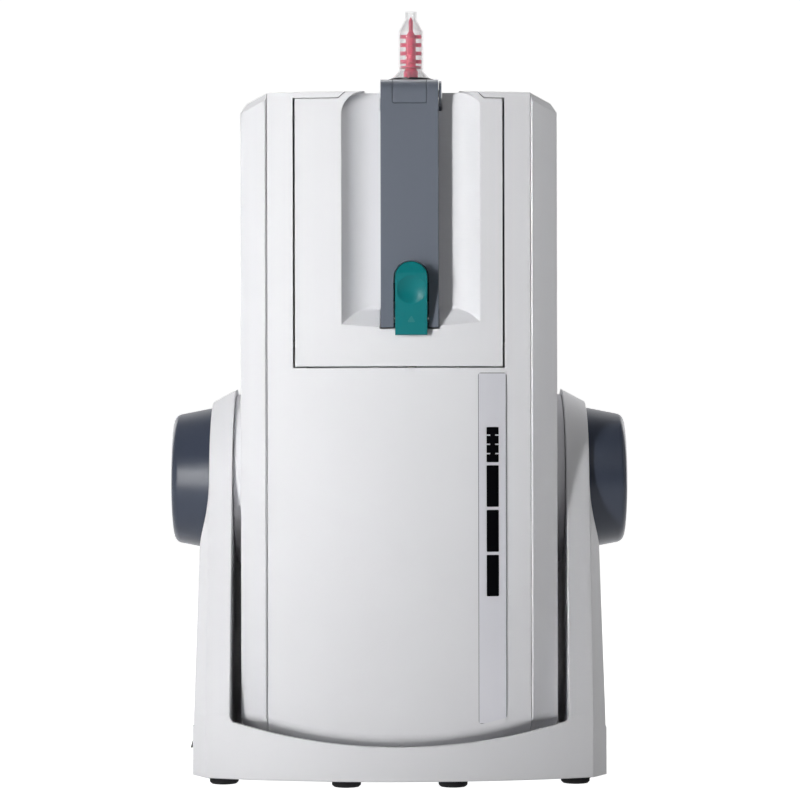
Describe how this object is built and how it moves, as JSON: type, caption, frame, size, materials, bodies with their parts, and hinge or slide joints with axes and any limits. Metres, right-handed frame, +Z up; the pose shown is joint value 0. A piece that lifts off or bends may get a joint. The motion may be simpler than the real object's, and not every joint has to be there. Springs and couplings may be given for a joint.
{
  "type": "dental impression mixer",
  "caption": "Upright automatic mixer for dental impression paste: a tilting white unit in a U-shaped stand with hand wheels, clamp lever, start button and mixing tip.",
  "frame": {"origin": "centre of the footprint on the table plane", "axes": "+Z up along the unit, -Y towards the cartridge door and lever, +X to the right seen from the front"},
  "size_m": [0.2516, 0.184, 0.4189],
  "materials": {
    "white": "fine satin moulded",
    "grey": "fine satin moulded",
    "wheel": "satin moulded",
    "teal": "satin moulded",
    "silver": "silver film",
    "window": "dark, glossy",
    "rubber": "matt",
    "black": "satin moulded",
    "steel": "zinc plated",
    "bronze": "sintered",
    "bearing": "low friction plastic",
    "liner": "satin moulded",
    "motor": "satin paint",
    "casing": "sheet",
    "board": "solder mask",
    "cartridge": "moulded",
    "clear": "clear",
    "pink": "moulded"
  },
  "bodies": {
    "stand": {"stand_shell": "white", "base_plate": "steel", "rubber_feet": "rubber", "base_screws": "steel", "pivot_bushes": "bearing", "mains_switch_frame": "black", "power_inlet": "black", "inlet_pins": "steel"},
    "unit": {"side_cover_right": "white", "side_cover_left": "white", "front_cover": "white", "rear_cover": "white", "top_cover": "white", "cover_screws": "steel", "label_strip": "silver", "level_windows": "window", "trunnion_right": "bearing", "trunnion_left": "bearing", "trunnion_clips": "steel", "chassis_plate_right": "steel", "chassis_plate_left": "steel", "motor_deck": "steel", "plunger_plate": "steel", "shaft_bearings": "bronze", "bay_liner": "liner", "cartridge_seat": "liner", "door_hinge_brackets": "steel", "mixing_motor": "motor", "drive_belt": "rubber", "feed_gearbox": "motor", "feed_motor": "motor", "power_supply": "casing", "control_board": "board", "base_cartridge": "cartridge", "catalyst_cartridge": "cartridge", "cartridge_cap": "cartridge", "tip_collar": "black", "mixing_tip_shell": "clear"},
    "mains_key": {"mains_rocker": "black"},
    "mixer_shaft": {"mixing_rotor": "pink", "mixer_drive_shaft": "steel", "mixer_pulley": "black"},
    "motor_shaft": {"motor_pulley": "black"},
    "door": {"door_shell": "white", "door_liner": "liner", "door_hinge_pins": "steel", "lever_bracket": "grey"},
    "lever": {"clamp_lever": "grey", "lever_cap": "grey", "lever_pin": "steel", "button_pin": "steel", "start_switch": "black"},
    "button": {"start_button": "teal"},
    "base_feed": {"base_plunger": "black", "rack_rod_base": "steel"},
    "catalyst_feed": {"catalyst_plunger": "black", "rack_rod_catalyst": "steel"},
    "hand_drive": {"cross_shaft": "steel", "hand_wheels": "wheel", "rack_pinions": "steel"}
  },
  "joints": [
    {"name": "unit_tilt", "type": "hinge", "parent": "stand", "child": "unit", "pos_m": [0, 0, 0.1625], "axis": [-1, 0, 0], "range_deg": [0, 90]},
    {"name": "door_open", "type": "hinge", "parent": "unit", "child": "door", "pos_m": [0, -0.074, 0.2364], "axis": [1, 0, 0], "range_deg": [0, 90]},
    {"name": "lever_lift", "type": "hinge", "parent": "door", "child": "lever", "pos_m": [0, -0.0725, 0.3709], "axis": [-1, 0, 0], "range_deg": [0, 105]},
    {"name": "button_press", "type": "hinge", "parent": "lever", "child": "button", "pos_m": [0, -0.0776, 0.2504], "axis": [-1, 0, 0], "range_deg": [0, 4], "stiffness_Nm_per_rad": 0.6, "springref_deg": -1.72},
    {"name": "base_plunger_travel", "type": "slide", "parent": "unit", "child": "base_feed", "axis": [0, 0, 1], "range_m": [0, 0.13]},
    {"name": "catalyst_plunger_travel", "type": "slide", "parent": "unit", "child": "catalyst_feed", "axis": [0, 0, 1], "range_m": [0, 0.13]},
    {"name": "hand_wheel_turn", "type": "hinge", "parent": "unit", "child": "hand_drive", "pos_m": [0, 0, 0.1625], "axis": [-1, 0, 0], "range_deg": [0, 500]},
    {"name": "mixer_spin", "type": "hinge", "parent": "unit", "child": "mixer_shaft", "pos_m": [0.0068, -0.042, 0.2], "axis": [0, 0, 1], "continuous": true},
    {"name": "motor_spin", "type": "hinge", "parent": "unit", "child": "motor_shaft", "pos_m": [0.0068, 0.032, 0.042], "axis": [0, 0, 1], "continuous": true},
    {"name": "mains_switch", "type": "hinge", "parent": "stand", "child": "mains_key", "pos_m": [-0.113, -0.04, 0.0215], "axis": [0, -1, 0], "range_deg": [0, 28]}
  ],
  "couplings": [
    {"joint": "catalyst_plunger_travel", "follows": "base_plunger_travel", "ratio": 1},
    {"joint": "hand_wheel_turn", "follows": "base_plunger_travel", "rad_per_m": 66.667},
    {"joint": "motor_spin", "follows": "mixer_spin", "ratio": 1}
  ]
}
